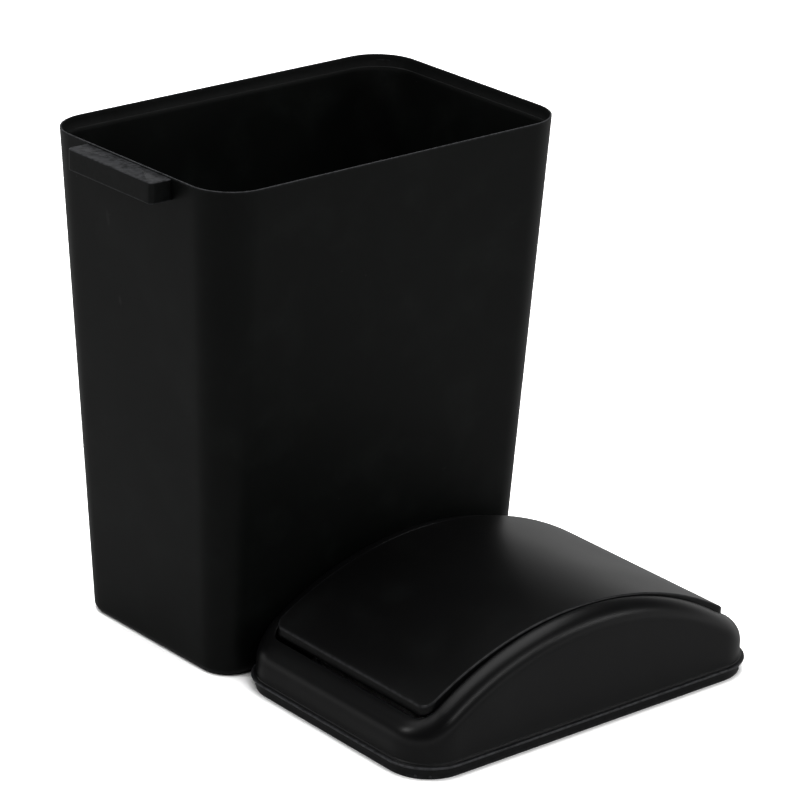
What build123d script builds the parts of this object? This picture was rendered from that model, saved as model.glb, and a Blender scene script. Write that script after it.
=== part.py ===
from build123d import *
from math import cos, radians, sin, sqrt
import os

# Slim trash can: a tapered open tub with a moulded grip, and its swing lid,
# a domed frame with an arched flap, taken off and lying on the floor beside it.
# Millimetres, +Z up, X along the long side, origin under the middle of the tub.

# Tub outside
tub_height = 400.0
rim_length = 342.0
rim_width = 224.0
rim_corner = 36.0
base_length = 299.0
base_width = 180.0
base_corner = 24.0
base_edge_round = 6.0

# Tub inside
tub_wall = 2.0
tub_floor = 3.0
base_recess = 2.5
foot_ring_width = 12.0
gate_pad_radius = 14.0
inner_floor_round = 5.0
land_depth = 10.0
land_wall = 1.4
rim_round = 0.5
round_steps = 4

# Catch beads, moulded in the four inner corners just under the rim
bead_depth_below_rim = 4.0
bead_height = 1.2
bead_reach = 0.4
bead_root = 0.6
bead_span = 24.0

# Grip, under the rim at one narrow end
grip_width = 104.0
grip_reach = 18.5
grip_height = 16.5
grip_drop = 1.2
grip_wall = 1.8
grip_corner = 3.5
grip_bevel = 0.8
grip_root = 0.8

# Lid frame
lid_clearance = 0.5
skirt_depth = 9.0
skirt_wall = 1.8
flange_overhang = 2.0
flange_thickness = 2.0
flange_bevel = 0.6
foot_step = 0.8
foot_step_height = 1.5
frame_wall = 2.0
sill_height = 39.0
crest_height = 93.0
arch_radius = 248.5
sill_blend = 30.0
crown_round = 16.0
mouth_end_margin = 15.1
mouth_side_margin = 17.1
mouth_corner = 13.0

# Snap bumps, a pair on each corner of the lid's skirt
bump_radius = 1.3
bump_reach = 0.6
bump_height = 2.6
bump_turn = 9.0
snap_play = 0.4

# Swing flap
flap_end_gap = 4.0
flap_side_gap = 1.5
flap_corner = 9.0
flap_rise = 1.0
flap_radius = 277.0
flap_skin = 2.0
flap_lip_depth = 7.0
flap_lip_wall = 1.8
flap_edge_round = 1.2

# Trunnions, which carry the flap at the middle of its long sides
pivot_drop = 11.0
pin_radius = 3.0
pin_clearance = 0.08
ear_radius = 7.0
ear_thickness = 3.0
lug_radius = 7.5
lug_thickness = 3.5
lug_offset = 0.2
pin_end_gap = 0.5

# Where the lid lies on the floor, beside the tub's long front side
lid_x = 28.7
lid_gap = 5.5
lid_turn = -1.1

# Sizes that follow from the ones above
skirt_inset = land_wall + lid_clearance
skirt_length = rim_length - 2 * skirt_inset
skirt_width = rim_width - 2 * skirt_inset
skirt_corner = rim_corner - skirt_inset
flange_top = skirt_depth + flange_thickness
mouth_length = skirt_length - 2 * mouth_end_margin
mouth_width = skirt_width - 2 * mouth_side_margin
flap_length = mouth_length - 2 * flap_end_gap
flap_width = mouth_width - 2 * flap_side_gap
flap_crest = crest_height + flap_rise
pivot_height = flap_crest - pivot_drop
lug_face = mouth_width / 2 + lug_offset
pin_end = lug_face + lug_thickness - pin_end_gap
grip_top = tub_height - grip_drop
bump_top = skirt_depth - bead_depth_below_rim - bead_height - snap_play
corners = ((45, 1, 1), (135, -1, 1), (225, -1, -1), (315, 1, -1))
lid_y = -(base_width / 2 + lid_gap + rim_width / 2 + flange_overhang)
lid_place = Location((lid_x, lid_y, 0), (0, 0, lid_turn))


def tub_outline(height, inset):
    """Length, width and corner radius of the tapered tub at a height, drawn in by inset."""
    share = height / tub_height
    length = base_length + (rim_length - base_length) * share
    width = base_width + (rim_width - base_width) * share
    corner = base_corner + (rim_corner - base_corner) * share
    return length - 2 * inset, width - 2 * inset, corner - inset


def tub_section(height, inset):
    """One rounded rectangle of the tub, drawn at its height."""
    with BuildSketch(Plane.XY.offset(height)) as section:
        RectangleRounded(*tub_outline(height, inset))
    return section.sketch


def tub_solid(*steps):
    """The tapered block through a list of heights, each with how far it is drawn in."""
    with BuildPart() as block:
        loft([tub_section(height, inset) for height, inset in steps], ruled=True)
    return block.part


def floor_round(low, radius, inset):
    """Heights and insets that round the block's bottom edge off in short steps."""
    angles = [radians(90 * step / round_steps) for step in range(round_steps + 1)]
    return [(low + radius * (1 - cos(a)), inset + radius * (1 - sin(a))) for a in angles]


# Grip: open underneath, so that fingers curl up behind its front wall
with BuildPart() as grip:
    with BuildSketch(Plane.XY.offset(grip_top - grip_height)):
        Rectangle(rim_length / 2 + grip_reach, grip_width, align=(Align.MAX, Align.CENTER))
    extrude(amount=grip_height)
    fillet(grip.edges().filter_by(Axis.Z).group_by(Axis.X)[0], grip_corner)
    chamfer(grip.edges().group_by(Axis.Z)[-1], grip_bevel)
    with BuildSketch(Plane.XY.offset(grip_top - grip_height)):
        RectangleRounded(
            rim_length + 2 * (grip_reach - grip_wall),
            grip_width - 2 * grip_wall,
            grip_corner - grip_wall,
        )
    extrude(amount=grip_height - grip_wall, mode=Mode.SUBTRACT)

# The hollow of the tub, with its floor edge rounded, and the thinner land at the rim
above_rim = tub_height + rim_round
with BuildPart() as tub_hollow:
    add(tub_solid(
        *floor_round(tub_floor + base_recess, inner_floor_round, tub_wall),
        (above_rim, tub_wall),
    ))
    add(tub_solid((tub_height - land_depth, land_wall), (above_rim, land_wall)))

# The grip's walls stop inside the tub's wall
with BuildPart() as grip_shell:
    add(grip.part)
    add(tub_solid((0, grip_root), (above_rim, grip_root)), mode=Mode.SUBTRACT)

# Tub, with a foot ring round its recessed underside and a pad where the mould is fed
with BuildPart() as tub_shell:
    add(tub_solid(
        *floor_round(0, base_edge_round, 0),
        (tub_height - rim_round, 0),
        (tub_height, rim_round),
    ))
    add(tub_hollow.part, mode=Mode.SUBTRACT)
    with BuildSketch():
        length, width, corner = tub_outline(0, base_edge_round + foot_ring_width)
        RectangleRounded(length, width, max(corner, foot_ring_width))
        Circle(gate_pad_radius, mode=Mode.SUBTRACT)
    extrude(amount=base_recess, mode=Mode.SUBTRACT)
    add(grip_shell.part)

# Catch beads: short arcs of a ring that runs round each inner corner of the land
land_corner = rim_corner - land_wall
land_middle_x = rim_length / 2 - rim_corner
land_middle_y = rim_width / 2 - rim_corner
with BuildPart() as catch_beads:
    for turn, sx, sy in corners:
        with BuildSketch(Plane.XY.offset(tub_height - bead_depth_below_rim)):
            with BuildLine(Plane((sx * land_middle_x, sy * land_middle_y, 0), (1, 0, 0))):
                start = turn - bead_span / 2
                outer = CenterArc((0, 0), land_corner + bead_root, start, bead_span)
                inner = CenterArc((0, 0), land_corner - bead_reach, start, bead_span)
                Line(outer @ 0, inner @ 0)
                Line(outer @ 1, inner @ 1)
            make_face()
        extrude(amount=-bead_height)

with BuildPart() as bin_tub:
    add(tub_shell.part)
    add(catch_beads.part)


def lid_outline(inset):
    """The lid's plan outline, drawn in from the skirt by inset."""
    with BuildSketch() as outline:
        RectangleRounded(skirt_length - 2 * inset, skirt_width - 2 * inset, skirt_corner - inset)
    return outline.sketch


def arch_half_span(radius, crest, height):
    """Half the span of a circular arch where it comes down to a height."""
    return sqrt(radius**2 - (radius - (crest - height)) ** 2)


def dome_solid(inset):
    """The lid's domed block: arched along X, level at both ends, with a rounded crown."""
    crest = crest_height - inset
    sill = sill_height - inset
    radius = arch_radius - inset
    end = skirt_length / 2 - inset
    reach = arch_half_span(radius, crest, sill)
    with BuildPart() as dome:
        with BuildSketch(Plane.XZ):
            with BuildLine():
                Polyline((-reach, sill), (-end, sill), (-end, 0), (end, 0), (end, sill), (reach, sill))
                ThreePointArc((reach, sill), (0, crest), (-reach, sill))
            make_face()
            feet = [v for v in vertices() if abs(abs(v.X) - reach) < 0.01]
            fillet(feet, sill_blend)
        extrude(amount=skirt_width / 2 - inset, both=True)
        upright = dome.edges().filter_by(Axis.Z)
        fillet(upright, skirt_corner - inset)
        crown = [e for e in dome.edges() if e.center().Z > sill - 1 and abs(e.tangent_at(0.5).Y) < 0.999]
        crown += [e for e in dome.edges() if e.center().Z > sill - 1 and abs(abs(e.center().X) - end) < 0.01]
        fillet(crown, crown_round - inset)
    return dome.part


# Lid frame: skirt, flange, foot step and arched dome, open underneath, with the mouth for the flap
with BuildPart() as frame_block:
    add(dome_solid(0))
    with BuildSketch(Plane.XY.offset(skirt_depth)):
        RectangleRounded(
            rim_length + 2 * flange_overhang,
            rim_width + 2 * flange_overhang,
            rim_corner + flange_overhang,
        )
    flange = extrude(amount=flange_thickness, mode=Mode.PRIVATE)
    add(flange.chamfer(flange_bevel, None, flange.edges().filter_by(Plane.XY)))
    with BuildSketch(Plane.XY.offset(flange_top)):
        add(lid_outline(-foot_step))
    extrude(amount=foot_step_height)

with BuildPart() as frame_hollow:
    add(dome_solid(frame_wall))
    with BuildSketch():
        add(lid_outline(skirt_wall))
    extrude(amount=skirt_depth)

# Pivot lugs, which hang from the dome beside the mouth and carry the flap's pins
with BuildPart() as pivot_lugs:
    for side in (1, -1):
        with BuildSketch(Plane.XZ.offset(-side * lug_face)):
            with Locations((0, pivot_height)):
                Circle(lug_radius)
            with Locations((0, (pivot_height + crest_height) / 2 - frame_wall / 2)):
                Rectangle(2 * lug_radius, crest_height - frame_wall - pivot_height + frame_wall / 2)
        extrude(amount=-side * lug_thickness)

# Snap bumps, which pass the tub's catch beads as the lid is pressed on
bump_circle = skirt_corner - bump_radius + bump_reach
with BuildPart() as snap_bumps:
    for turn, sx, sy in corners:
        middle_x = sx * (skirt_length / 2 - skirt_corner)
        middle_y = sy * (skirt_width / 2 - skirt_corner)
        for angle in (turn - bump_turn, turn + bump_turn):
            with BuildSketch(Plane.XY.offset(bump_top)):
                with Locations((
                    middle_x + bump_circle * cos(radians(angle)),
                    middle_y + bump_circle * sin(radians(angle)),
                )):
                    Circle(bump_radius)
            extrude(amount=-bump_height)

with BuildPart() as lid_frame:
    add(frame_block.part)
    add(frame_hollow.part, mode=Mode.SUBTRACT)
    with BuildSketch(Plane.XY.offset(flange_top + foot_step_height)):
        RectangleRounded(mouth_length, mouth_width, mouth_corner)
    extrude(amount=crest_height, mode=Mode.SUBTRACT)
    add(snap_bumps.part)
    add(pivot_lugs.part)
    with Locations(Location((0, 0, pivot_height), (90, 0, 0))):
        Cylinder(pin_radius + pin_clearance, rim_width - 4 * frame_wall - crown_round, mode=Mode.SUBTRACT)


# Swing flap: an arched shell with a lip turned down all round, two ears and two pins
def flap_block(inset, depth):
    """The block under the flap's arch, drawn in by inset, from depth below its top face."""
    with BuildPart() as block:
        with BuildSketch():
            RectangleRounded(flap_length - 2 * inset, flap_width - 2 * inset, flap_corner - inset)
        extrude(amount=flap_crest)
        with BuildSketch(Plane.XZ):
            with Locations((0, flap_crest - flap_radius)):
                Circle(flap_radius - depth)
        extrude(amount=flap_width, both=True, mode=Mode.INTERSECT)
    return block.part


with BuildPart() as flap_underside:
    with BuildSketch(Plane.XZ):
        with Locations((0, flap_crest - flap_radius)):
            Circle(flap_radius - flap_lip_depth)
    extrude(amount=flap_width, both=True)

with BuildPart() as swing_flap:
    add(flap_block(0, 0))
    top_face = swing_flap.faces().sort_by(Axis.Z)[-1]
    fillet(top_face.edges(), flap_edge_round)
    add(flap_block(flap_lip_wall, flap_skin), mode=Mode.SUBTRACT)
    add(flap_underside.part, mode=Mode.SUBTRACT)
    for side in (1, -1):
        ear_face = flap_width / 2
        with BuildSketch(Plane.XZ.offset(-side * (ear_face - ear_thickness))):
            with Locations((0, pivot_height)):
                Circle(ear_radius)
            with Locations((0, (pivot_height + flap_crest - flap_skin) / 2)):
                Rectangle(2 * ear_radius, flap_crest - flap_skin - pivot_height)
        extrude(amount=-side * ear_thickness)
        with BuildSketch(Plane.XZ.offset(-side * (ear_face - ear_thickness))):
            with Locations((0, pivot_height)):
                Circle(pin_radius)
        extrude(amount=-side * (pin_end - ear_face + ear_thickness))

lid_frame.part.location = lid_place
swing_flap.part.location = lid_place

os.makedirs("parts", exist_ok=True)
bin_tub.part.label = "bin_tub"
export_step(bin_tub.part, "parts/bin_tub.step")
lid_frame.part.label = "lid_frame"
export_step(lid_frame.part, "parts/lid_frame.step")
swing_flap.part.label = "swing_flap"
export_step(swing_flap.part, "parts/swing_flap.step")
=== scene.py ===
from math import atan2, cos, pi, radians, sin, sqrt

import bmesh
import bpy
from mathutils import Matrix, Vector


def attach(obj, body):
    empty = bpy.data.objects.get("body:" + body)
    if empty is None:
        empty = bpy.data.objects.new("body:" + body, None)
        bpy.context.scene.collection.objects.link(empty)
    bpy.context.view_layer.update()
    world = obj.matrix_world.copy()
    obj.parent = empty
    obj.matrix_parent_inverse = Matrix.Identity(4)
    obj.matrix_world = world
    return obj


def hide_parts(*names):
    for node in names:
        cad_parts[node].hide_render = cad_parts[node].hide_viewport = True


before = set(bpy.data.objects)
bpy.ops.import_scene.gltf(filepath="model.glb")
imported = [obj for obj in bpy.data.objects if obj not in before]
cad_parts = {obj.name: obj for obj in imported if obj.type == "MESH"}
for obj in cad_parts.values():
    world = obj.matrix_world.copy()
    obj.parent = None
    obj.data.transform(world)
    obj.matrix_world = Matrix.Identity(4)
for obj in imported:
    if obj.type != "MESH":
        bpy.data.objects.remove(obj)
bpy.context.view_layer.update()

MM = 0.001

# Tub sizes, in millimetres; a size of three is length, width and corner radius
TUB_HEIGHT = 400.0
RIM = (342.0, 224.0, 36.0)
BASE = (299.0, 180.0, 24.0)
TUB_WALL = 2.0
TUB_FLOOR = 5.5
BASE_ROUND = 6.0
BASE_RECESS = 2.5
FOOT_RING = 12.0
FLOOR_ROUND = 5.0
LAND_DEPTH = 10.0
LAND_WALL = 1.4
RIM_ROUND = 0.5
RIM_INNER_ROUND = 0.35
GATE_PAD = 14.0
GATE_STUB = ((5, 0), (3, 0.5), (2.2, 0.5), (1.8, 0.2), (0.4, 0.1))
BEAD = {
    "below_rim": 4.0, "height": 1.2, "reach": 0.4, "span": 24.0,
    "root": 0.25, "back": 0.2, "steps": 24, "ease_steps": 3,
}
GRIP = {
    "width": 104.0, "reach": 18.5, "height": 16.5, "drop": 1.2,
    "wall": 1.8, "corner": 3.5, "edge": 0.8, "root": 1.2,
}
CORNERS = ((45, 1, 1), (135, -1, 1), (225, -1, -1), (315, 1, -1))
SIDES = ((-1, 0), (0, -1), (1, 0), (0, 1))

# Lid sizes, in millimetres
SKIRT = (338.2, 220.2, 34.1)
SKIRT_WALL = 1.8
SKIRT_DEPTH = 9.0
SKIRT_LIP = ((0.4, 0), (0.1, 0.15), (0, 0.5))
FLANGE_REACH = 3.9
FLANGE_TOP = 11.0
FLANGE_EDGE = 0.8
FOOT_STEP = 0.8
FOOT_STEP_HEIGHT = 1.5
FRAME_WALL = 2.0
SILL = 39.0
CREST = 93.0
ARCH_RADIUS = 248.5
SILL_BLEND = 30.0
CROWN_ROUND = 16.0
MOUTH = (308.0, 186.0, 13.0)
FLAP = (300.0, 183.0, 9.0)
FLAP_CREST = 94.0
FLAP_RADIUS = 277.0
FLAP_LIP = 7.0
FLAP_SKIN = 2.0
FLAP_LIP_WALL = 1.8
FLAP_EDGE = 1.2
FLAP_STRIP = 3.5
FLAP_STRIPS = 25
PIVOT_HEIGHT = 83.0
PLATE_SINK = 0.6
PLATE_BEVEL = 0.95
PLATE_HEART = 0.4
LUG = {"radius": 7.5, "thickness": 3.5, "face": 93.2, "bore": 3.08}
EAR = {"radius": 7.0, "thickness": 3.0, "sink": 0.02}
PIN = {"radius": 3.0, "end": 96.2}
BUMP = {"radius": 1.3, "reach": 0.6, "height": 2.6, "turn": 9.0, "top": 3.4, "tip": 0.35}

# Softening of edges in the profiles, in millimetres
EASE = 0.4
SOFT = 0.3
HAIR = 0.1

# Rings and points along the meshes
CORNER_STEPS = 14
SIDE_STEPS = (40, 26)
UNDERSIDE_INSETS = (88, 60, 40)
FLOOR_INSETS = (12, 30, 60, 86)
WALL_STEPS = {"tub": 26, "tub_inside": 20, "dome": 7, "dome_inside": 6, "grip": 6, "grip_front": 24}
CURVE_STEPS = {
    "foot": 10, "rim": 4, "rim_inner": 3, "floor": 8, "grip_corner": 8, "grip_edge": 5, "bead": 16,
    "flange": 10, "crown": 18, "crown_inside": 10, "flap_edge": 7, "hanging": 16, "bump": 10,
}
CIRCLE_STEPS = {"gate_pad": 48, "pin": 32, "bump": 20}

# Meshes: how near points are before they become one, in metres
WELD = 0.000004
SLIVER = 0.000001

# Wear and painted highlight on edges, from 0 for none to 1 for rubbed bare or a full painted highlight; the
# material lightens both alike
FOOT_WEAR = 0.6
FOOT_ROUND_WEAR = 0.5
RIM_WEAR_AND_HIGHLIGHT = 0.2
LAND_WEAR = 0.04
LAND_EDGE_WEAR = 0.1
BEAD_WEAR_AND_HIGHLIGHT = 0.6
GRIP_TOP_HIGHLIGHT = 0.75
GRIP_WALL_WEAR = 0.05
BUMP_WEAR_AND_HIGHLIGHT = 0.8
LID_EDGE_HIGHLIGHT = 0.5
LID_STEP_HIGHLIGHT = 0.1
FLAP_LIP_HIGHLIGHT = 0.05
FLAP_EDGE_HIGHLIGHT = 0.4
FLAP_TOP_HIGHLIGHT = 0.1

# Where the lid lies
LID_PLACE = Matrix.Translation((0.0287, -0.2095, 0.0)) @ Matrix.Rotation(radians(-1.1), 4, "Z")

# Camera: the photograph's viewing angle
CAMERA = {"azimuth": -40.817, "elevation": 21.584, "distance": 3.0021, "roll": 1.585}
CAMERA_TARGET = Vector((0.0375, -0.07324, 0.18274))
CAMERA_SENSOR = 36
CAMERA_LENS = 3848.7 / 800 * CAMERA_SENSOR
CAMERA_FAR = 100

# Plastics by body: colour, roughness, specular level, strength of grain and share of marks
PLASTICS = {
    "tub": ((0.0018, 0.0022, 0.0020), 0.42, 0.12, 0.30, 1.0),
    "lid": ((0.0020, 0.0020, 0.0022), 0.33, 0.21, 0.22, 0.6),
    "flap": ((0.0013, 0.0013, 0.0014), 0.34, 0.20, 0.15, 0.7),
}

# Marks: a NOISE is a scale and its detail, ENDS are the values where a mark starts and is full
RUB_AND_HIGHLIGHT_NOISE = (260.0, 4.0)
RUB_AND_HIGHLIGHT_ENDS = (0.32, 0.6)
RUB_AND_HIGHLIGHT_LEAST = 0.25
RUB_AND_HIGHLIGHT_DULLS = 0.06
WORN_AND_HIGHLIGHT_COLOUR = (0.045, 0.046, 0.050)
SPECK_SCALE = 95.0
SPECK_SHARE = 0.10
SPECK_CUT = (1.0, 1.001)
SPECK_ENDS = (0.035, 0.02)
SPECK_COLOUR = (0.05, 0.05, 0.05)
SCRATCH_RUNS = ((420, 90, 30), (40, 380, 120), (160, 60, 420))
SCRATCH_NOISE = (1.0, 1.0)
SCRATCH_ENDS = (0.76, 0.82)
SCRATCH_PATCH_NOISE = (17.0, 2.0)
SCRATCH_PATCH_RUN = (1, 1.3, 0.8)
SCRATCH_PATCH_ENDS = (0.60, 0.70)
SCRATCH_SHARE = 0.5
SCRATCH_DULLS = 0.1
SCRATCH_COLOUR = (0.03, 0.03, 0.03)
CLOUD_NOISE = (11.0, 3.0)
CLOUD_ENDS = (0.35, 0.68)
CLOUD_GAIN = 1.35
DUST_NOISE = (26.0, 6.0)
DUST_FINE_NOISE = (300.0, 3.0)
DUST_ENDS = (0.50, 0.78)
DUST_SHARE = 0.45
DUST_COLOUR = (0.013, 0.015, 0.014)
GLOSS_NOISE = (7.0, 2.0)
GLOSS_ENDS = (0.3, 0.7)
GLOSS_SWING = (0.03, 0.04)
GRAIN_NOISE = (2400.0, 2.0)
GRAIN_COARSE_NOISE = (160.0, 3.0)
GRAIN_COARSE_SHARE = 0.8
GRAIN_DEPTH = 0.0001

# A colour mix node's sockets share their names with others, so they go by number
MIX_INPUTS = (6, 7)
MIX_RESULT = 2

# Light: the floor, the room round it, and lamps with name, place, target, size and power
FLOOR_SIZE = 30.0
FLOOR_TONE = 0.4
FLOOR_ROUGHNESS = 0.9
FLOOR_SPECULAR = 0.1
FLOOR_SEEN = 2.2
FLOOR_SHADE_REACH = 0.12
FLOOR_SHADE_ENDS = (0.12, 0.55)
FLOOR_SHADE_SAMPLES = 8
BACKDROP_EDGE = (0.10, 0.34)
ROOM_LIGHT = 0.45
ROOM_GLOSS = 0.03
MIDDLE = (0.0, -0.2, 0.1)
LAMPS = (
    ("overhead", (0.2, 0.4, 2.6), MIDDLE, (2.4, 2.0), 40),
    ("front_top", (0.05, -2.55, 2.26), MIDDLE, (2.6, 0.3), 21),
    ("right_front", (1.96, -2.16, 1.70), MIDDLE, (1.2, 0.3), 12),
    ("back_left", (-1.81, 0.84, 2.12), MIDDLE, (0.5, 0.4), 13),
)


# Helpers for meshes

def spread(low, high, steps):
    """Evenly spaced values from low to high."""
    return [low + (high - low) * k / steps for k in range(steps + 1)]


def mix_sizes(a, b, share):
    """A size part of the way from one to another."""
    return tuple(p + (q - p) * share for p, q in zip(a, b))


def drawn_in(size, inset):
    """A size drawn in by the same inset all round."""
    return size[0] - 2 * inset, size[1] - 2 * inset, size[2] - inset


def ring(size, height):
    """Points of a rounded rectangle, at one height or at a height for each x."""
    length, width, corner = size
    corner = max(corner, 0)
    points = []
    for k, (_, sx, sy) in enumerate(CORNERS):
        cx, cy = sx * (length / 2 - corner), sy * (width / 2 - corner)
        for j in range(CORNER_STEPS + 1):
            a = pi / 2 * (k + j / CORNER_STEPS)
            points.append((cx + corner * cos(a), cy + corner * sin(a)))
        steps = SIDE_STEPS[k % 2]
        run = size[k % 2] - 2 * corner
        dx, dy = SIDES[k]
        x, y = points[-1]
        points += [(x + dx * run * j / steps, y + dy * run * j / steps) for j in range(1, steps)]
    if callable(height):
        return [(x, y, height(x)) for x, y in points]
    return [(x, y, height) for x, y in points]


def circle(radius, height, steps):
    """Points of a level circle."""
    turns = [2 * pi * k / steps for k in range(steps)]
    return [(radius * cos(a), radius * sin(a), height) for a in turns]


def add_object(name, data):
    """Puts a mesh, a lamp or a camera in the scene."""
    item = bpy.data.objects.new(name, data)
    bpy.context.scene.collection.objects.link(item)
    return item


def skin(name, rings, wear_and_highlight=None, closed=False, cap_first=False, cap_last=False):
    """A mesh through rings that all have the same number of points, with each ring's share of wear and
    painted highlight.
    """
    count = len(rings[0])
    points = [Vector(p) * MM for r in rings for p in r]
    faces = []
    pairs = list(zip(range(len(rings) - 1), range(1, len(rings))))
    if closed:
        pairs.append((len(rings) - 1, 0))
    for a, b in pairs:
        for j in range(count):
            k = (j + 1) % count
            faces.append((a * count + j, a * count + k, b * count + k, b * count + j))
    if cap_first:
        faces.append(tuple(reversed(range(count))))
    if cap_last:
        base = (len(rings) - 1) * count
        faces.append(tuple(base + j for j in range(count)))
    mesh = bpy.data.meshes.new(name)
    mesh.from_pydata(points, [], faces)
    shares = wear_and_highlight if wear_and_highlight else [0.0] * len(rings)
    # A per-point mask for rubbed edges and painted highlight lines, which the material lightens
    attribute = mesh.attributes.new("wear_and_highlight", "FLOAT", "POINT")
    attribute.data.foreach_set("value", [share for share in shares for _ in range(count)])
    return add_object(name, mesh)


def finish_mesh(piece, place=None):
    """Closes the mesh's seams, turns its faces outward, smooths it and puts it in its place."""
    work = bmesh.new()
    work.from_mesh(piece.data)
    bmesh.ops.remove_doubles(work, verts=work.verts, dist=WELD)
    bmesh.ops.dissolve_degenerate(work, edges=work.edges, dist=SLIVER)
    bmesh.ops.recalc_face_normals(work, faces=work.faces)
    work.to_mesh(piece.data)
    work.free()
    if place is not None:
        piece.data.transform(place)
    piece.data.polygons.foreach_set("use_smooth", [True] * len(piece.data.polygons))
    piece.data.update()
    return piece


def join(name, pieces, place=None):
    """Makes one piece of several."""
    bpy.ops.object.select_all(action="DESELECT")
    for piece in pieces:
        piece.select_set(True)
    bpy.context.view_layer.objects.active = pieces[0]
    bpy.ops.object.join()
    whole = bpy.context.view_layer.objects.active
    whole.name = name
    return finish_mesh(whole, place)


# Tub

def tub_ring(height, inset):
    """The tapered tub's outline at a height, drawn in by an inset."""
    size = mix_sizes(BASE, RIM, height / TUB_HEIGHT)
    return ring(drawn_in(size, inset), height)


def make_tub():
    """One skin from the middle of the underside, up the outside, over the rim and down to the floor."""
    # Each step is a height, an inset and a share of wear and painted highlight: first the recess, the foot
    # ring and its round edge
    ring_in = BASE_ROUND + FOOT_RING
    steps = [(BASE_RECESS, inset, 0) for inset in (*UNDERSIDE_INSETS, ring_in + 0.5)]
    steps += [(BASE_RECESS - EASE, ring_in, 0), (EASE, ring_in, FOOT_WEAR / 2)]
    steps += [(0, ring_in - 0.5, FOOT_WEAR), (0, BASE_ROUND + EASE, FOOT_WEAR)]
    for a in spread(0, pi / 2, CURVE_STEPS["foot"]):
        height, inset = BASE_ROUND * (1 - cos(a)), BASE_ROUND * (1 - sin(a))
        steps.append((height, inset, FOOT_ROUND_WEAR * cos(a)))

    # The wall and the rim; the rim's rounded edges are lighter, partly from wear and partly as a painted
    # highlight line
    heights = spread(BASE_ROUND * 1.5, TUB_HEIGHT - 2, WALL_STEPS["tub"])
    steps += [(height, 0, 0) for height in heights]
    for a in spread(0, pi / 2, CURVE_STEPS["rim"]):
        height, inset = TUB_HEIGHT - RIM_ROUND * (1 - sin(a)), RIM_ROUND * (1 - cos(a))
        steps.append((height, inset, RIM_WEAR_AND_HIGHLIGHT + (1 - RIM_WEAR_AND_HIGHLIGHT) * sin(a)))
    for a in spread(0, pi / 2, CURVE_STEPS["rim_inner"]):
        drop, inset = RIM_INNER_ROUND * (1 - cos(a)), LAND_WALL - RIM_INNER_ROUND * (1 - sin(a))
        steps.append((TUB_HEIGHT - drop, inset, cos(a)))

    # The land that the lid's skirt seats in, and the step below it
    low = TUB_HEIGHT - LAND_DEPTH
    steps += [(low + 7, LAND_WALL, LAND_WEAR), (low + SOFT, LAND_WALL, LAND_WEAR)]
    steps += [(low + HAIR / 2, LAND_WALL + HAIR, LAND_EDGE_WEAR), (low, TUB_WALL - 0.15, LAND_EDGE_WEAR)]
    steps.append((low - SOFT, TUB_WALL, 0))

    # The inside wall and the floor
    heights = spread(low - 4, TUB_FLOOR + FLOOR_ROUND + 3, WALL_STEPS["tub_inside"])
    steps += [(height, TUB_WALL, 0) for height in heights]
    for a in spread(0, pi / 2, CURVE_STEPS["floor"]):
        lift, inset = FLOOR_ROUND * (1 - sin(a)), TUB_WALL + FLOOR_ROUND * (1 - cos(a))
        steps.append((TUB_FLOOR + lift, inset, 0))
    steps += [(TUB_FLOOR, inset, 0) for inset in FLOOR_INSETS]

    rings = [tub_ring(height, inset) for height, inset, _ in steps]
    tub = skin("tub", rings, [wear_and_highlight for _, _, wear_and_highlight in steps], cap_first=True, cap_last=True)
    return finish_mesh(tub)


def make_gate_pad():
    """The round pad under the tub where the mould is fed, with its sheared-off stub in the middle."""
    profile = [(GATE_PAD, BASE_RECESS + 0.2), (GATE_PAD, EASE), (GATE_PAD - EASE, 0), *GATE_STUB]
    rings = [circle(radius, height, CIRCLE_STEPS["gate_pad"]) for radius, height in profile]
    return finish_mesh(skin("gate_pad", rings, cap_last=True))


def grip_ring(inset, height):
    """The grip's outline seen from above, round at its two outer corners and open into the wall."""
    far = RIM[0] / 2 + GRIP["reach"] - inset
    near = RIM[0] / 2 - GRIP["root"]
    half = GRIP["width"] / 2 - inset
    corner = GRIP["corner"] - inset
    side_steps, front_steps = WALL_STEPS["grip"], WALL_STEPS["grip_front"]
    corner_steps = CURVE_STEPS["grip_corner"]
    points = [(near, y) for y in spread(half, -half, front_steps)]
    points += [(x, -half) for x in spread(near, far - corner, side_steps)[1:]]
    for a in spread(-pi / 2, 0, corner_steps)[1:]:
        points.append((far - corner + corner * cos(a), -half + corner + corner * sin(a)))
    points += [(far, y) for y in spread(-half + corner, half - corner, front_steps)[1:]]
    for a in spread(0, pi / 2, corner_steps)[1:]:
        points.append((far - corner + corner * cos(a), half - corner + corner * sin(a)))
    points += [(x, half) for x in spread(far - corner, near, side_steps)[1:-1]]
    return [(-x, y, height) for x, y in points]


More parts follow.
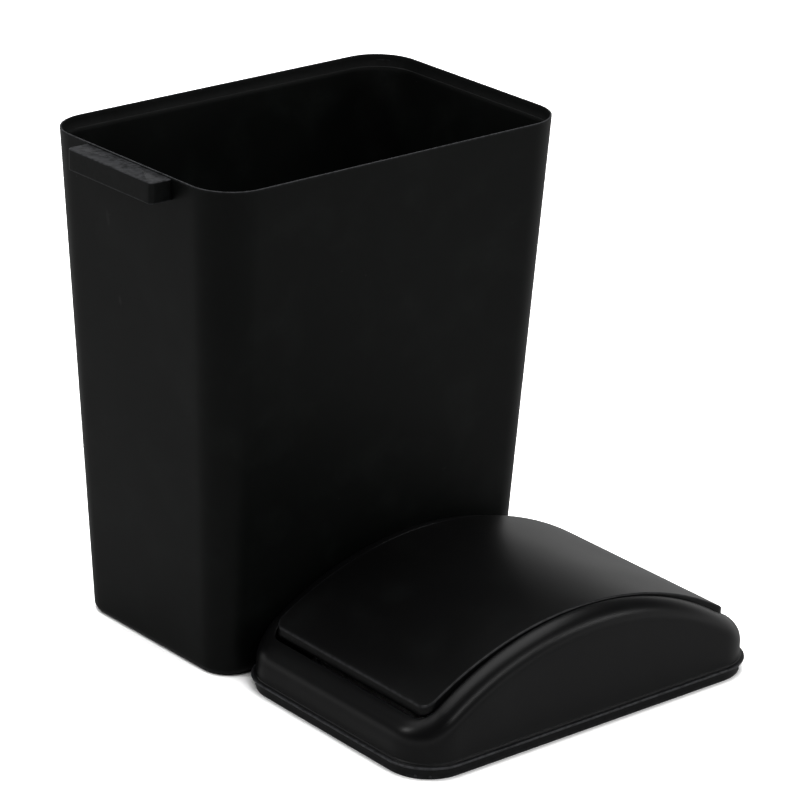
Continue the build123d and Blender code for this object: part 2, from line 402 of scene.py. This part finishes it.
def make_grip():
    """A thin shell, closed on top and open underneath, with soft edges."""
    top = TUB_HEIGHT - GRIP["drop"]
    foot = top - GRIP["height"]
    wall, edge = GRIP["wall"], GRIP["edge"]
    # Each step is an inset, a height and a share of wear and painted highlight, from the inside of the top
    # round the foot to the top
    steps = [(wall + 1.2, top - wall, 0), (wall + EASE, top - wall, 0), (wall, top - wall - EASE, 0)]
    # Painted highlight lines along the foot's edges
    steps += [(wall, foot + 6, 0), (wall, foot + EASE, 0), (wall - SOFT, foot, 0.5), (EASE, foot, 0.9)]
    steps += [(HAIR, foot + HAIR, 1), (0, foot + EASE, 0.6)]
    heights = spread(foot + 1.2, top - edge - EASE, WALL_STEPS["grip"])
    steps += [(0, height, GRIP_WALL_WEAR) for height in heights]
    # Painted highlight: the rounded top edge and the whole top are lighter
    for a in spread(0, pi / 2, CURVE_STEPS["grip_edge"]):
        wear_and_highlight = 0.3 + 0.5 * sin(2 * a) + 0.35 * sin(a)
        steps.append((edge * (1 - cos(a)), top - edge * (1 - sin(a)), wear_and_highlight))
    steps += [(edge + 0.5, top, GRIP_TOP_HIGHLIGHT), (edge + 1.6, top, GRIP_TOP_HIGHLIGHT)]
    rings = [grip_ring(inset, height) for inset, height, _ in steps]
    return finish_mesh(skin("grip", rings, [wear_and_highlight for _, _, wear_and_highlight in steps], cap_first=True, cap_last=True))


def make_catch_beads():
    """Short rounded ribs in the tub's inner corners, just under the rim."""
    corner = RIM[2] - LAND_WALL
    middle = TUB_HEIGHT - BEAD["below_rim"] - BEAD["height"] / 2
    steps, ease_steps = BEAD["steps"], BEAD["ease_steps"]
    beads = []
    for turn, sx, sy in CORNERS:
        cx, cy = sx * (RIM[0] / 2 - RIM[2]), sy * (RIM[1] / 2 - RIM[2])
        rings = []
        for k, a in enumerate(spread(turn - BEAD["span"] / 2, turn + BEAD["span"] / 2, steps)):
            ease = min(1, k / ease_steps, (steps - k) / ease_steps)
            swell = (BEAD["root"] + BEAD["reach"]) * ease
            section = []
            for b in spread(0, 2 * pi, CURVE_STEPS["bead"])[:-1]:
                r = corner + BEAD["root"] - swell * max(cos(b), 0) - BEAD["back"] * min(cos(b), 0)
                z = middle + BEAD["height"] / 2 * sin(b)
                section.append((cx + r * cos(radians(a)), cy + r * sin(radians(a)), z))
            rings.append(section)
        # The beads are lighter all over: partly rubbed, partly a painted highlight
        beads.append(skin("bead", rings, [BEAD_WEAR_AND_HIGHLIGHT] * len(rings), cap_first=True, cap_last=True))
    return join("catch_beads", beads)


# Lid

def arch(x, crest, radius):
    """Height of a round arch along the lid."""
    return crest - radius + sqrt(max(radius**2 - x**2, 0))


def crown_height(x, inset):
    """Height of the dome's top: an arch that runs out into a level sill at each end."""
    crest, radius, sill, blend = CREST - inset, ARCH_RADIUS - inset, SILL - inset, SILL_BLEND + inset
    middle = crest - radius
    foot_x = sqrt((radius + blend) ** 2 - (sill + blend - middle) ** 2)
    join_x = foot_x * radius / (radius + blend)
    if abs(x) <= join_x:
        return arch(x, crest, radius)
    if abs(x) < foot_x:
        return sill + blend - sqrt(blend**2 - (foot_x - abs(x)) ** 2)
    return sill


def dome_rings(inset, wall_low, wall_steps, crown_steps):
    """Rings up the wall and over the crown to the edge of the mouth."""
    outline = drawn_in(SKIRT, inset)
    crown_round = CROWN_ROUND - inset
    rings = []

    def wall_rise(x):
        return crown_height(x, inset) - crown_round - wall_low

    for share in spread(0, 1, wall_steps)[:-1]:
        rings.append(ring(outline, lambda x: wall_low + wall_rise(x) * share))
    for a in spread(0, pi / 2, crown_steps):
        size = mix_sizes(outline, MOUTH, 1 - cos(a))
        rings.append(ring(size, lambda x: crown_height(x, inset) - crown_round * (1 - sin(a))))
    return rings


def make_frame_shell():
    """One closed skin: up the skirt, round the flange, over the dome, into the mouth and down inside."""
    rings, wear_and_highlight = [], []

    def put(inset, height, share=0.0):
        rings.append(ring(drawn_in(SKIRT, inset), height))
        wear_and_highlight.append(share)

    # The skirt's lip and band are lighter: painted highlight lines
    for inset, height in SKIRT_LIP:
        put(inset, height, LID_EDGE_HIGHLIGHT)
    for height in (3, 6, SKIRT_DEPTH - EASE):
        put(0, height, LID_STEP_HIGHLIGHT)
    put(-EASE, SKIRT_DEPTH)

    # The flange's rounded edge, lighter towards its outer edge: a painted highlight line
    middle = (SKIRT_DEPTH + FLANGE_TOP) / 2
    half = (FLANGE_TOP - SKIRT_DEPTH) / 2
    for a in spread(-pi / 2, pi / 2, CURVE_STEPS["flange"]):
        reach = FLANGE_REACH - FLANGE_EDGE + FLANGE_EDGE * cos(a)
        put(-reach, middle + half * sin(a), LID_EDGE_HIGHLIGHT + (1 - LID_EDGE_HIGHLIGHT) * cos(a))

    # The step at the foot of the dome, with a faint painted highlight
    step_top = FLANGE_TOP + FOOT_STEP_HEIGHT
    put(-FOOT_STEP - SOFT, FLANGE_TOP)
    put(-FOOT_STEP, FLANGE_TOP + 0.25)
    put(-FOOT_STEP, step_top - EASE, LID_STEP_HIGHLIGHT)
    put(-FOOT_STEP + SOFT, step_top - 0.05, LID_STEP_HIGHLIGHT)
    put(-HAIR, step_top)

    # The dome outside, the edge of the mouth with a painted highlight line, and the dome inside
    outside = dome_rings(0, step_top + SOFT, WALL_STEPS["dome"], CURVE_STEPS["crown"])
    rings += outside
    wear_and_highlight += [0.0] * len(outside)
    for inset, drop, share in ((0.25, HAIR, 0.5), (0.35, EASE, 0.4), (0.35, FRAME_WALL - SOFT, 0)):
        rings.append(ring(drawn_in(MOUTH, inset), lambda x: crown_height(x, 0) - drop))
        wear_and_highlight.append(share)
    inside = dome_rings(FRAME_WALL, SKIRT_DEPTH, WALL_STEPS["dome_inside"], CURVE_STEPS["crown_inside"])
    rings += inside[::-1]
    wear_and_highlight += [0.0] * len(inside)

    put(SKIRT_WALL, SKIRT_DEPTH - SOFT)
    put(SKIRT_WALL, EASE)
    put(SKIRT_WALL - SOFT, 0)
    return finish_mesh(skin("lid_frame_shell", rings, wear_and_highlight, closed=True), LID_PLACE)


def make_flap_shell():
    """One closed skin: the underside from its middle out, round the lip, and the top back to its middle."""
    rings, wear_and_highlight = [], []

    def put(inset, drop, share=0.0):
        rings.append(ring(drawn_in(FLAP, inset), lambda x: arch(x, FLAP_CREST - drop, FLAP_RADIUS - drop)))
        wear_and_highlight.append(share)

    strips = [FLAP[1] / 2 - k * FLAP_STRIP for k in range(FLAP_STRIPS)]
    for inset in strips:
        put(inset, FLAP_SKIN)

    # The lip, down its inside, round its foot and up its outside
    lip = FLAP_LIP_WALL
    for inset, drop in (
        (lip + EASE, FLAP_SKIN), (lip, FLAP_SKIN + EASE), (lip, FLAP_LIP - 2), (lip, FLAP_LIP - SOFT),
        (lip - SOFT, FLAP_LIP), (SOFT, FLAP_LIP), (0, FLAP_LIP - SOFT),
        (0, 5), (0, 3.2), (0, FLAP_EDGE + EASE),
    ):
        put(inset, drop)

    # The rounded upper edge with a painted highlight line, and the top with a faint painted highlight next
    # to it
    for a in spread(0, pi / 2, CURVE_STEPS["flap_edge"]):
        share = FLAP_LIP_HIGHLIGHT + FLAP_EDGE_HIGHLIGHT * sin(2 * a)
        put(FLAP_EDGE * (1 - cos(a)), FLAP_EDGE * (1 - sin(a)), share)
    put(FLAP_EDGE + EASE, 0, FLAP_TOP_HIGHLIGHT)
    put(FLAP_EDGE + 1.2, 0)
    for inset in strips[::-1]:
        put(inset, 0)
    return finish_mesh(skin("flap_shell", rings, wear_and_highlight), LID_PLACE)


def hanging_outline(radius, top):
    """A plate's outline in X and Z about its pivot: round below and straight up to its top edge."""
    points = [(radius * cos(a), radius * sin(a)) for a in spread(-pi, 0, CURVE_STEPS["hanging"])]
    points += [(radius * share, top) for share in (1, 0.5, 0, -0.5, -1)]
    return points


def plate(name, outline, hole, near, far):
    """An upright plate from near to far along Y, with soft edges, and with a bore unless hole is 0."""
    middle = (near + far) / 2
    half = (far - near) / 2
    soft = SOFT if far > near else -SOFT
    rings = []

    def put(scale, y):
        rings.append([(x * scale, y, PIVOT_HEIGHT + z * scale) for x, z in outline])

    def put_hole(radius, y):
        angles = [atan2(z, x) for x, z in outline]
        rings.append([(radius * cos(a), y, PIVOT_HEIGHT + radius * sin(a)) for a in angles])

    bore = hole if hole else PLATE_HEART
    put_hole(bore + 0.2, middle - half)
    put(PLATE_BEVEL, middle - half)
    put(1, middle - half + soft)
    put(1, middle + half - soft)
    put(PLATE_BEVEL, middle + half)
    put_hole(bore + 0.2, middle + half)
    if hole:
        put_hole(bore, middle + half - soft)
        put_hole(bore, middle - half + soft)
    return skin(name, rings, closed=bool(hole), cap_first=not hole, cap_last=not hole)


def make_lugs():
    """The two lugs that hang beside the mouth and carry the flap's pins."""
    top = CREST - FRAME_WALL - PIVOT_HEIGHT + PLATE_SINK
    lugs = []
    for side in (-1, 1):
        near, far = side * LUG["face"], side * (LUG["face"] + LUG["thickness"])
        lugs.append(plate("lug", hanging_outline(LUG["radius"], top), LUG["bore"], near, far))
    return join("pivot_lugs", lugs, LID_PLACE)


def make_trunnions():
    """The flap's two ears, each with its pin."""
    top = FLAP_CREST - FLAP_SKIN - PIVOT_HEIGHT + PLATE_SINK
    face = FLAP[1] / 2 - EAR["sink"]
    radius, end = PIN["radius"], PIN["end"]
    pin_profile = (
        (radius + 0.5, face - SOFT), (radius + HAIR, face + HAIR), (radius, face + EASE),
        (radius, end - 0.5), (radius - 0.15, end - 0.15), (radius - 0.5, end),
    )
    pieces = []
    for side in (-1, 1):
        near, far = side * (face - EAR["thickness"]), side * face
        pieces.append(plate("ear", hanging_outline(EAR["radius"], top), 0, near, far))
        rings = []
        for r, y in pin_profile:
            rings.append([(x, side * y, PIVOT_HEIGHT + z) for x, z, _ in circle(r, 0, CIRCLE_STEPS["pin"])])
        pieces.append(skin("pin", rings, cap_first=True, cap_last=True))
    return join("trunnions", pieces, LID_PLACE)


def make_snap_bumps():
    """Pairs of small upright ribs on the skirt's corners."""
    corner = SKIRT[2]
    reach = corner - BUMP["radius"] + BUMP["reach"]
    tip = BUMP["tip"]
    bumps = []
    for turn, sx, sy in CORNERS:
        cx, cy = sx * (SKIRT[0] / 2 - corner), sy * (SKIRT[1] / 2 - corner)
        for a in (radians(turn - BUMP["turn"]), radians(turn + BUMP["turn"])):
            x0, y0 = cx + reach * cos(a), cy + reach * sin(a)
            rings = []
            for b in spread(-pi / 2, pi / 2, CURVE_STEPS["bump"]):
                lift = BUMP["top"] - BUMP["height"] / 2 * (1 - sin(b))
                wide = BUMP["radius"] * (tip + (1 - tip) * sqrt(max(cos(b), 0)))
                rings.append([(x0 + x, y0 + y, lift) for x, y, _ in circle(wide, 0, CIRCLE_STEPS["bump"])])
            # The bumps are lighter all over: partly rubbed, partly a painted highlight
            bumps.append(skin("bump", rings, [BUMP_WEAR_AND_HIGHLIGHT] * len(rings), cap_first=True, cap_last=True))
    return join("snap_bumps", bumps, LID_PLACE)


# Materials

def map_range(nodes, links, source, ends, results=(0.0, 1.0)):
    """A node that turns the values between two ends into those between two results."""
    node = nodes.new("ShaderNodeMapRange")
    for socket, value in zip(("From Min", "From Max", "To Min", "To Max"), (*ends, *results)):
        node.inputs[socket].default_value = value
    links.new(source, node.inputs["Value"])
    return node


class Surface:
    """Node helpers for one procedural material, measured in the piece's own coordinates."""

    def __init__(self, name):
        self.material = bpy.data.materials.new(name)
        self.material.use_nodes = True
        self.nodes = self.material.node_tree.nodes
        self.links = self.material.node_tree.links
        self.shader = self.nodes["Principled BSDF"]
        self.coords = self.nodes.new("ShaderNodeTexCoord").outputs["Object"]

    def stretched(self, scale):
        """Coordinates stretched along each axis."""
        node = self.nodes.new("ShaderNodeMapping")
        node.inputs["Scale"].default_value = scale
        self.links.new(self.coords, node.inputs["Vector"])
        return node.outputs["Vector"]

    def noise(self, scale, detail, vector=None):
        """Soft noise from 0 to 1."""
        node = self.nodes.new("ShaderNodeTexNoise")
        node.inputs["Scale"].default_value = scale
        node.inputs["Detail"].default_value = detail
        self.links.new(vector or self.coords, node.inputs["Vector"])
        return node.outputs["Fac"]

    def dots(self, scale):
        """Distance from scattered points, and a colour of its own for each of them."""
        node = self.nodes.new("ShaderNodeTexVoronoi")
        node.inputs["Scale"].default_value = scale
        self.links.new(self.coords, node.inputs["Vector"])
        return node.outputs["Distance"], node.outputs["Color"]

    def ramp(self, source, ends, results=(0.0, 1.0)):
        """Values between two ends, turned into those between two results."""
        return map_range(self.nodes, self.links, source, ends, results).outputs["Result"]

    def math(self, operation, a, b):
        """One sum of two values, each a number or a socket."""
        node = self.nodes.new("ShaderNodeMath")
        node.operation = operation
        for socket, value in zip(node.inputs, (a, b)):
            if isinstance(value, (int, float)):
                socket.default_value = value
            else:
                self.links.new(value, socket)
        return node.outputs["Value"]

    def blend(self, share, a, b):
        """A colour part of the way from one to another, each a colour or a socket."""
        node = self.nodes.new("ShaderNodeMix")
        node.data_type = "RGBA"
        self.links.new(share, node.inputs["Factor"])
        for number, colour in zip(MIX_INPUTS, (a, b)):
            if isinstance(colour, tuple):
                node.inputs[number].default_value = (*colour, 1)
            else:
                self.links.new(colour, node.inputs[number])
        return node.outputs[MIX_RESULT]


def moulded(name, colour, roughness, specular, grain, marks):
    """Black moulded plastic: fine grain, uneven gloss, rubbed edges lightened together with painted
    highlight lines, dust specks and faint scratches.
    """
    surface = Surface(name)
    shader, links = surface.shader, surface.links
    shader.inputs["Specular IOR Level"].default_value = specular
    edge = surface.nodes.new("ShaderNodeAttribute")
    edge.attribute_name = "wear_and_highlight"
    uneven = surface.ramp(surface.noise(*RUB_AND_HIGHLIGHT_NOISE), RUB_AND_HIGHLIGHT_ENDS, (RUB_AND_HIGHLIGHT_LEAST, 1))
    rubbed_and_highlight = surface.math("MULTIPLY", edge.outputs["Fac"], uneven)

    distance, tone = surface.dots(SPECK_SCALE)
    tone_value = surface.nodes.new("ShaderNodeSeparateColor")
    links.new(tone, tone_value.inputs["Color"])
    few = SPECK_SHARE * marks
    chosen = surface.ramp(tone_value.outputs["Red"], [end - few for end in SPECK_CUT])
    specks = surface.math("MULTIPLY", surface.ramp(distance, SPECK_ENDS), chosen)

    scratches = 0.0
    for run in SCRATCH_RUNS:
        lines = surface.noise(*SCRATCH_NOISE, surface.stretched(run))
        place = surface.noise(*SCRATCH_PATCH_NOISE, surface.stretched(SCRATCH_PATCH_RUN))
        patch = surface.ramp(place, SCRATCH_PATCH_ENDS)
        line = surface.math("MULTIPLY", surface.ramp(lines, SCRATCH_ENDS, (0, marks)), patch)
        scratches = surface.math("MAXIMUM", line, scratches)

    cloud = surface.ramp(surface.noise(*CLOUD_NOISE), CLOUD_ENDS)
    base = surface.blend(cloud, colour, tuple(c * CLOUD_GAIN for c in colour))
    dust = surface.ramp(surface.noise(*DUST_NOISE), DUST_ENDS)
    dust = surface.math("MULTIPLY", dust, surface.noise(*DUST_FINE_NOISE))
    base = surface.blend(surface.math("MULTIPLY", dust, DUST_SHARE * marks), base, DUST_COLOUR)
    base = surface.blend(surface.math("MULTIPLY", scratches, SCRATCH_SHARE), base, SCRATCH_COLOUR)
    base = surface.blend(specks, base, SPECK_COLOUR)
    # Lighter colour along the marked edges: partly rubbed wear, partly painted highlight lines where edges
    # catch the light
    base = surface.blend(rubbed_and_highlight, base, WORN_AND_HIGHLIGHT_COLOUR)
    links.new(base, shader.inputs["Base Color"])

    gloss_range = (roughness - GLOSS_SWING[0], roughness + GLOSS_SWING[1])
    gloss = surface.ramp(surface.noise(*GLOSS_NOISE), GLOSS_ENDS, gloss_range)
    gloss = surface.math("ADD", gloss, surface.math("MULTIPLY", rubbed_and_highlight, RUB_AND_HIGHLIGHT_DULLS))
    gloss = surface.math("ADD", gloss, surface.math("MULTIPLY", scratches, SCRATCH_DULLS))
    links.new(gloss, shader.inputs["Roughness"])

    coarse = surface.math("MULTIPLY", surface.noise(*GRAIN_COARSE_NOISE), GRAIN_COARSE_SHARE)
    relief = surface.math("ADD", surface.noise(*GRAIN_NOISE), coarse)
    bump = surface.nodes.new("ShaderNodeBump")
    bump.inputs["Strength"].default_value = grain
    bump.inputs["Distance"].default_value = GRAIN_DEPTH
    links.new(relief, bump.inputs["Height"])
    links.new(bump.outputs["Normal"], shader.inputs["Normal"])
    return surface.material


def dress(piece, material, body, node=None):
    """Gives a piece its material and the body it rides on, and hides the CAD node that it stands for."""
    piece.data.materials.clear()
    piece.data.materials.append(material)
    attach(piece, body)
    if node:
        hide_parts(node)


# Studio

def make_floor():
    """A pale floor that the camera sees as white, with the object's soft shadow on it and painted shade
    darkening it near and under the object.
    """
    mesh = bpy.data.meshes.new("floor")
    half = FLOOR_SIZE / 2
    points = [(-half, -half, 0), (half, -half, 0), (half, half, 0), (-half, half, 0)]
    mesh.from_pydata(points, [], [(0, 1, 2, 3)])
    floor = add_object("floor", mesh)
    material = bpy.data.materials.new("floor")
    material.use_nodes = True
    nodes, links = material.node_tree.nodes, material.node_tree.links
    shader = nodes["Principled BSDF"]
    shader.inputs["Base Color"].default_value = (FLOOR_TONE, FLOOR_TONE, FLOOR_TONE, 1)
    shader.inputs["Roughness"].default_value = FLOOR_ROUGHNESS
    shader.inputs["Specular IOR Level"].default_value = FLOOR_SPECULAR
    bright = nodes.new("ShaderNodeBsdfDiffuse")
    # Painted shade: ambient occlusion darkens the floor's colour near and under the object, on top of its
    # real shadow
    shade = nodes.new("ShaderNodeAmbientOcclusion")
    shade.samples = FLOOR_SHADE_SAMPLES
    shade.inputs["Distance"].default_value = FLOOR_SHADE_REACH
    deep = map_range(nodes, links, shade.outputs["AO"], FLOOR_SHADE_ENDS, (0.0, FLOOR_SEEN))
    links.new(deep.outputs["Result"], bright.inputs["Color"])
    path = nodes.new("ShaderNodeLightPath")
    seen = nodes.new("ShaderNodeMixShader")
    links.new(path.outputs["Is Camera Ray"], seen.inputs[0])
    links.new(shader.outputs["BSDF"], seen.inputs[1])
    links.new(bright.outputs["BSDF"], seen.inputs[2])
    links.new(seen.outputs["Shader"], nodes["Material Output"].inputs["Surface"])
    mesh.materials.append(material)


def make_world():
    """White to the camera; for light and reflections, a pale backdrop low down under a dim room."""
    world = bpy.data.worlds.new("studio")
    bpy.context.scene.world = world
    world.use_nodes = True
    nodes, links = world.node_tree.nodes, world.node_tree.links
    nodes.clear()
    coords = nodes.new("ShaderNodeTexCoord").outputs["Generated"]

    def background(strength):
        node = nodes.new("ShaderNodeBackground")
        node.inputs["Color"].default_value = (1, 1, 1, 1)
        if isinstance(strength, float):
            node.inputs["Strength"].default_value = strength
        else:
            links.new(strength, node.inputs["Strength"])
        return node.outputs["Background"]

    def mix(share, a, b):
        node = nodes.new("ShaderNodeMixShader")
        for socket, source in zip(node.inputs, (share, a, b)):
            links.new(source, socket)
        return node.outputs["Shader"]

    heights = nodes.new("ShaderNodeSeparateXYZ")
    links.new(coords, heights.inputs["Vector"])
    low_down = map_range(nodes, links, heights.outputs["Z"], BACKDROP_EDGE, (1.0, ROOM_GLOSS))
    low_down.interpolation_type = "SMOOTHSTEP"
    path = nodes.new("ShaderNodeLightPath")
    reflected = background(low_down.outputs["Result"])
    room = mix(path.outputs["Is Glossy Ray"], background(ROOM_LIGHT), reflected)
    out = nodes.new("ShaderNodeOutputWorld")
    links.new(mix(path.outputs["Is Camera Ray"], room, background(1.0)), out.inputs["Surface"])


def add_lamp(name, position, target, size, power):
    """A rectangular lamp that faces its target."""
    data = bpy.data.lights.new(name, "AREA")
    data.shape = "RECTANGLE"
    data.size, data.size_y = size
    data.energy = power
    lamp = add_object(name, data)
    lamp.location = position
    lamp.rotation_euler = (Vector(target) - Vector(position)).to_track_quat("-Z", "Y").to_euler()


def make_camera():
    """A long lens at the photograph's viewing angle."""
    az, el = radians(CAMERA["azimuth"]), radians(CAMERA["elevation"])
    back = Vector((sin(az) * cos(el), -cos(az) * cos(el), sin(el)))
    data = bpy.data.cameras.new("camera")
    data.lens = CAMERA_LENS
    data.sensor_width = CAMERA_SENSOR
    data.clip_end = CAMERA_FAR
    camera = add_object("camera", data)
    turn = (-back).to_track_quat("-Z", "Y").to_matrix().to_4x4()
    roll = Matrix.Rotation(radians(CAMERA["roll"]), 4, "Z")
    camera.matrix_world = Matrix.Translation(CAMERA_TARGET + back * CAMERA["distance"]) @ turn @ roll
    bpy.context.scene.camera = camera


plastics = {body: moulded(body + "_plastic", *look) for body, look in PLASTICS.items()}

dress(make_tub(), plastics["tub"], "tub", "bin_tub")
for piece in (make_gate_pad(), make_grip(), make_catch_beads()):
    dress(piece, plastics["tub"], "tub")
dress(make_frame_shell(), plastics["lid"], "lid", "lid_frame")
for piece in (make_lugs(), make_snap_bumps()):
    dress(piece, plastics["lid"], "lid")
dress(make_flap_shell(), plastics["flap"], "flap", "swing_flap")
dress(make_trunnions(), plastics["flap"], "flap")

make_floor()
make_world()
for lamp in LAMPS:
    add_lamp(*lamp)
make_camera()
bpy.context.scene.view_settings.view_transform = "Standard"
